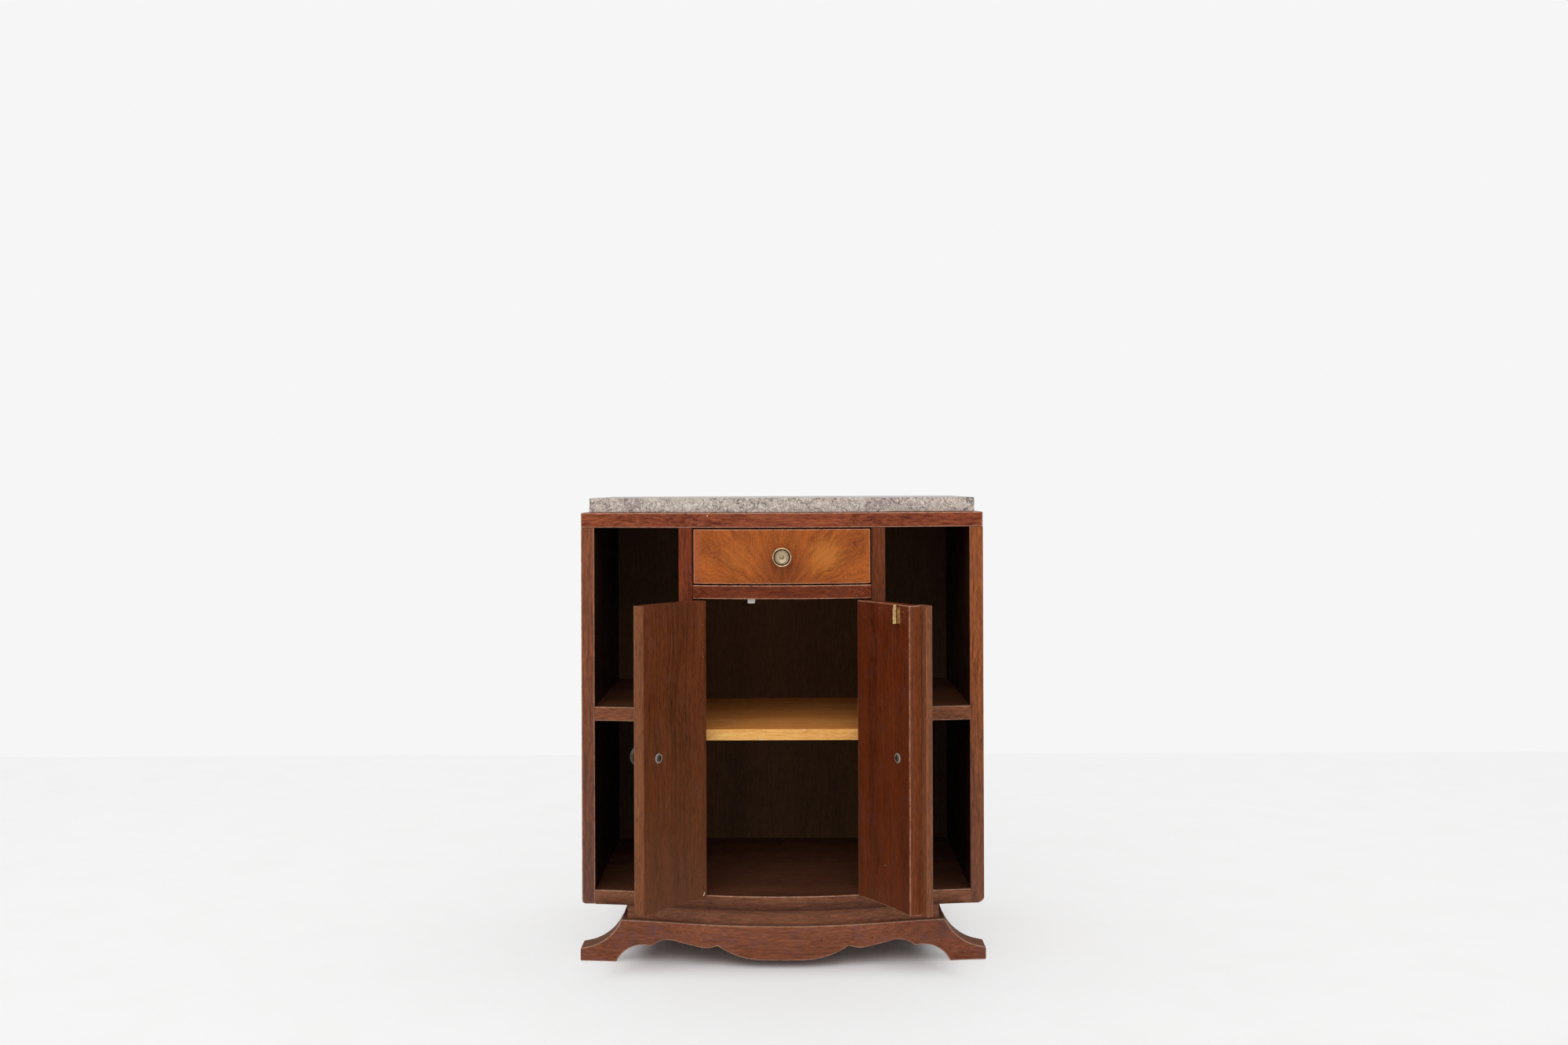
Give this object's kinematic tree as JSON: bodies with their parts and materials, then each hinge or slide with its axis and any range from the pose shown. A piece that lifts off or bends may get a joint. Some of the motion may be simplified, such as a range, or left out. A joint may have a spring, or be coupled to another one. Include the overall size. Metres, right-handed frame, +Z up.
{
  "type": "bow-front cabinet",
  "caption": "Bow-front wooden floor cabinet with a stone top, a drawer above hinged doors, open side shelves and a scalloped plinth on flared feet.",
  "frame": {"origin": "on the floor, under the middle of the bounding box with both doors standing open as stored", "axes": "+X to the right seen from the front, +Y from the bowed front to the back, +Z up"},
  "size_m": [0.625, 0.5126, 0.713],
  "materials": {
    "mahogany": "old satin polish",
    "figured_veneer": "gloss polish",
    "pale_wood": "raw",
    "raw_wood": "raw",
    "dark_wood": "stained",
    "marble": "worn polish",
    "nickel": "patinated nickel plate",
    "brass": "tarnished",
    "steel": "dull",
    "white_paint": "painted"
  },
  "bodies": {
    "carcass": {"marble_top": "marble", "case_top": "mahogany", "case_bottom": "mahogany", "left_side": "mahogany", "right_side": "mahogany", "left_partition": "mahogany", "right_partition": "mahogany", "back_panel": "dark_wood", "left_side_shelf": "mahogany", "right_side_shelf": "mahogany", "centre_shelf": "pale_wood", "left_shelf_cleat": "pale_wood", "right_shelf_cleat": "pale_wood", "drawer_rail": "mahogany", "left_drawer_runner": "raw_wood", "right_drawer_runner": "raw_wood", "drawer_stops": "raw_wood", "door_stop_block": "white_paint", "catch_strike": "brass", "neck_front": "mahogany", "neck_left": "mahogany", "neck_right": "mahogany", "neck_back": "mahogany", "plinth_apron": "mahogany", "plinth_left": "mahogany", "plinth_right": "mahogany", "plinth_back": "mahogany", "plinth_blocks": "raw_wood", "left_hinge_frame_leaves": "brass", "right_hinge_frame_leaves": "brass", "left_hinge_pins": "steel", "right_hinge_pins": "steel"},
    "drawer": {"drawer_front": "figured_veneer", "drawer_left_side": "raw_wood", "drawer_right_side": "raw_wood", "drawer_back": "raw_wood", "drawer_bottom": "raw_wood", "drawer_knob": "nickel", "drawer_knob_rose": "nickel", "drawer_knob_screw": "steel"},
    "left_door": {"left_door_panel": "mahogany", "left_door_knob": "nickel", "left_door_knob_rose": "nickel", "left_door_knob_screw": "steel", "left_hinge_door_leaves": "brass"},
    "right_door": {"right_door_panel": "mahogany", "astragal": "mahogany", "right_door_knob": "nickel", "right_door_knob_rose": "nickel", "right_door_knob_screw": "steel", "right_hinge_door_leaves": "brass", "catch_case": "brass"},
    "catch_bolt": {"catch_bolt": "brass"}
  },
  "joints": [
    {"name": "drawer_slide", "type": "slide", "parent": "carcass", "child": "drawer", "axis": [0, -1, 0], "range_m": [0, 0.23]},
    {"name": "left_door_hinge", "type": "hinge", "parent": "carcass", "child": "left_door", "pos_m": [-0.1351, -0.12673, 0.3345], "axis": [0, 0, -1], "range_deg": [-122.5, 47.5]},
    {"name": "right_door_hinge", "type": "hinge", "parent": "carcass", "child": "right_door", "pos_m": [0.1351, -0.12673, 0.3345], "axis": [0, 0, 1], "range_deg": [-114.5, 55.5]},
    {"name": "catch_bolt_slide", "type": "slide", "parent": "right_door", "child": "catch_bolt", "axis": [0, 0, 1], "range_m": [-0.0035, 0], "stiffness_N_per_m": 400, "springref_m": 0.004}
  ]
}
